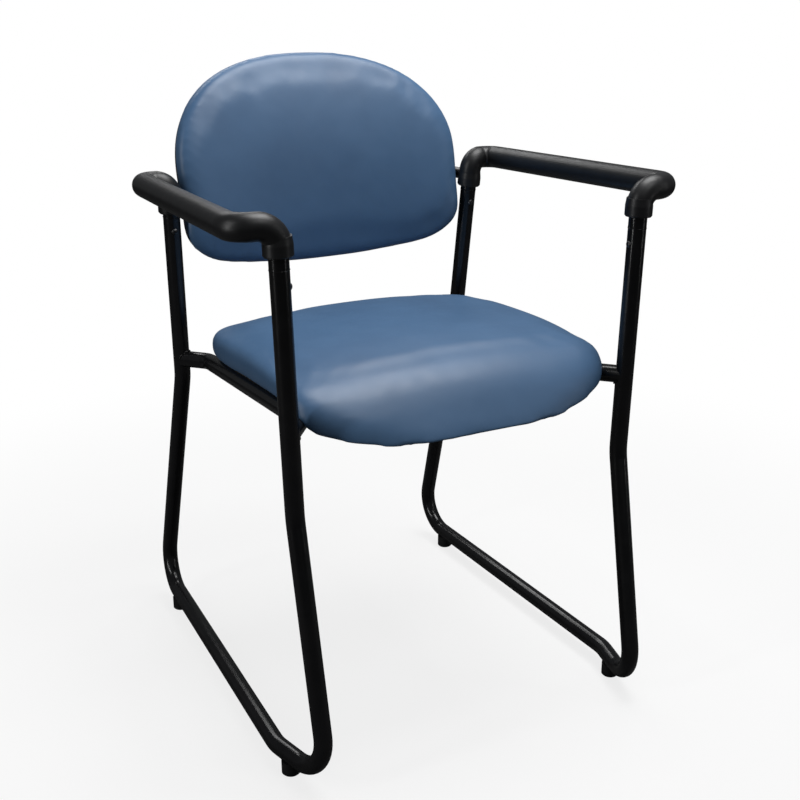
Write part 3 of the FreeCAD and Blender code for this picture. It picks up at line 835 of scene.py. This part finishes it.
def makeWelds():
    # each bead gets the even ripples of a hand weld round its tube
    piece = mergedCopy(welds["nodes"], "tubeWelds")
    remesh = piece.modifiers.new("remesh", "REMESH")
    remesh.mode = "VOXEL"
    remesh.voxel_size = welds["voxel"]
    useModifier(piece, remesh)
    shape = bmesh.new()
    shape.from_mesh(piece.data)
    shape.normal_update()
    left = set(shape.verts)
    while left:
        island = spread(left)
        centre = sum((vertex.co for vertex in island), Vector()) / len(island)
        rippleBead(island, centre)
    shape.to_mesh(piece.data)
    shape.free()
    shadeSmooth(piece)
    finishPiece(piece, "tube_weld", *welds["nodes"])


def spread(left):
    # takes one connected bead out of the set
    first = left.pop()
    island = [first]
    edge = [first]
    while edge:
        vertex = edge.pop()
        for link in vertex.link_edges:
            other = link.other_vert(vertex)
            if other in left:
                left.remove(other)
                island.append(other)
                edge.append(other)
    return island


def rippleBead(island, centre):
    # ripples a bead by the angle round its tube, which runs along its thin axis
    spans = [max(vertex.co[axis] for vertex in island) - min(vertex.co[axis] for vertex in island)
             for axis in range(2)]
    alongX = spans[0] < spans[1]
    moves = []
    for vertex in island:
        offset = vertex.co - centre
        flat = offset.y if alongX else offset.x
        angle = math.atan2(offset.z, flat)
        wave = 0.5 + 0.5 * math.cos(welds["ripples"] * 2 * angle)
        moves.append(vertex.normal * (welds["height"] * (wave - welds["sunk"])))
    for vertex, move in zip(island, moves):
        vertex.co += move


makeSpigotScrews()
makeJointRings()
makeCoverStaples()
makeSeatHem()
makeWelds()
print("screws, rings, staples, hem and welds ready")

studio = {
    "floorSize": 14.0,
    "floorPaint": (0.90, 0.90, 0.90),
    "bounce": 0.09,
    "softLight": 0.09,
    "shadowShare": 0.20,
    "fadeStart": 0.55,
    "fadeEnd": 1.35,
}


def makeFloorFinish():
    # pale paint that fades into the white backdrop and is clear from below
    finish, tree, shader, place = newFinish("studioFloorPaint")
    tone = addNoise(tree, place, 3.0, 2.0)
    paler = tuple(value * 1.03 for value in studio["floorPaint"])
    colour = addRamp(tree, tone, [(0.3, studio["floorPaint"]), (0.7, paler)])
    tree.links.new(colour, shader.inputs["Base Color"])
    shader.inputs["Roughness"].default_value = 0.9
    shader.inputs["Specular IOR Level"].default_value = 0.0
    white = tree.nodes.new("ShaderNodeEmission")
    dim = tree.nodes.new("ShaderNodeBsdfDiffuse")
    dim.inputs["Color"].default_value = (studio["bounce"],) * 3 + (1.0,)
    reach = tree.nodes.new("ShaderNodeVectorMath")
    reach.operation = "LENGTH"
    tree.links.new(place.outputs["Object"], reach.inputs[0])
    fade = tree.nodes.new("ShaderNodeMapRange")
    fade.interpolation_type = "SMOOTHSTEP"
    fade.inputs["From Min"].default_value = studio["fadeStart"]
    fade.inputs["From Max"].default_value = studio["fadeEnd"]
    fade.inputs["To Min"].default_value = 1.0 - studio["shadowShare"]
    fade.inputs["To Max"].default_value = 1.0
    tree.links.new(reach.outputs["Value"], fade.inputs["Value"])
    seen = tree.nodes.new("ShaderNodeMixShader")
    tree.links.new(fade.outputs["Result"], seen.inputs["Fac"])
    tree.links.new(shader.outputs["BSDF"], seen.inputs[1])
    tree.links.new(white.outputs["Emission"], seen.inputs[2])
    path = tree.nodes.new("ShaderNodeLightPath")
    choose = tree.nodes.new("ShaderNodeMixShader")
    tree.links.new(path.outputs["Is Camera Ray"], choose.inputs["Fac"])
    tree.links.new(dim.outputs["BSDF"], choose.inputs[1])
    tree.links.new(seen.outputs["Shader"], choose.inputs[2])
    clear = tree.nodes.new("ShaderNodeBsdfTransparent")
    face = tree.nodes.new("ShaderNodeNewGeometry")
    under = tree.nodes.new("ShaderNodeMixShader")
    tree.links.new(face.outputs["Backfacing"], under.inputs["Fac"])
    tree.links.new(choose.outputs["Shader"], under.inputs[1])
    tree.links.new(clear.outputs["BSDF"], under.inputs[2])
    output = next(node for node in tree.nodes if node.type == "OUTPUT_MATERIAL")
    tree.links.new(under.outputs["Shader"], output.inputs["Surface"])
    return finish


def makeStage():
    mesh = bpy.data.meshes.new("studioFloor")
    half = studio["floorSize"] / 2
    corners = [(-half, -half, 0), (half, -half, 0), (half, half, 0), (-half, half, 0)]
    mesh.from_pydata(corners, [], [(0, 1, 2, 3)])
    floor = linkMesh("studioFloor", mesh)
    floor.data.materials.append(makeFloorFinish())
    world = bpy.data.worlds.new("studioWorld")
    world.use_nodes = True
    bpy.context.scene.world = world
    tree = world.node_tree
    tree.nodes.clear()
    output = tree.nodes.new("ShaderNodeOutputWorld")
    soft = tree.nodes.new("ShaderNodeBackground")
    soft.inputs["Color"].default_value = (0.94, 0.97, 1.0, 1.0)
    soft.inputs["Strength"].default_value = studio["softLight"]
    white = tree.nodes.new("ShaderNodeBackground")
    white.inputs["Color"].default_value = (1.0, 1.0, 1.0, 1.0)
    white.inputs["Strength"].default_value = 1.0
    path = tree.nodes.new("ShaderNodeLightPath")
    choose = tree.nodes.new("ShaderNodeMixShader")
    tree.links.new(path.outputs["Is Camera Ray"], choose.inputs["Fac"])
    tree.links.new(soft.outputs["Background"], choose.inputs[1])
    tree.links.new(white.outputs["Background"], choose.inputs[2])
    tree.links.new(choose.outputs["Shader"], output.inputs["Surface"])


lamps = {
    "keyAbove": {"place": (0.40, 0.0, 2.15), "aim": (0.0, 0.0, 0.45), "size": (1.2, 1.0), "power": 30.0},
    "frontHigh": {"place": (0.35, -1.25, 2.0), "aim": (0.0, 0.1, 0.7), "size": (0.7, 0.3), "power": 4.2},
    "stripLeft": {"place": (-2.0, -0.3, 1.1), "aim": (0.0, 0.0, 0.5), "size": (0.14, 1.9), "power": 11.0},
    "stripRight": {"place": (1.7, -1.5, 1.0), "aim": (0.0, 0.0, 0.5), "size": (0.08, 1.9), "power": 2.8},
    "rearTop": {"place": (0.2, 1.9, 1.9), "aim": (0.0, 0.0, 0.6), "size": (1.4, 0.4), "power": 8.0},
}


def makeLamps():
    for name, lamp in lamps.items():
        data = bpy.data.lights.new(name, "AREA")
        data.shape = "RECTANGLE"
        data.size, data.size_y = lamp["size"]
        data.energy = lamp["power"]
        light = bpy.data.objects.new(name, data)
        place = Vector(lamp["place"])
        turn = (Vector(lamp["aim"]) - place).to_track_quat("-Z", "Y")
        light.matrix_world = Matrix.Translation(place) @ turn.to_matrix().to_4x4()
        bpy.context.scene.collection.objects.link(light)


makeStage()
makeLamps()
bpy.context.scene.view_settings.view_transform = "Standard"
print("stage and lamps ready")
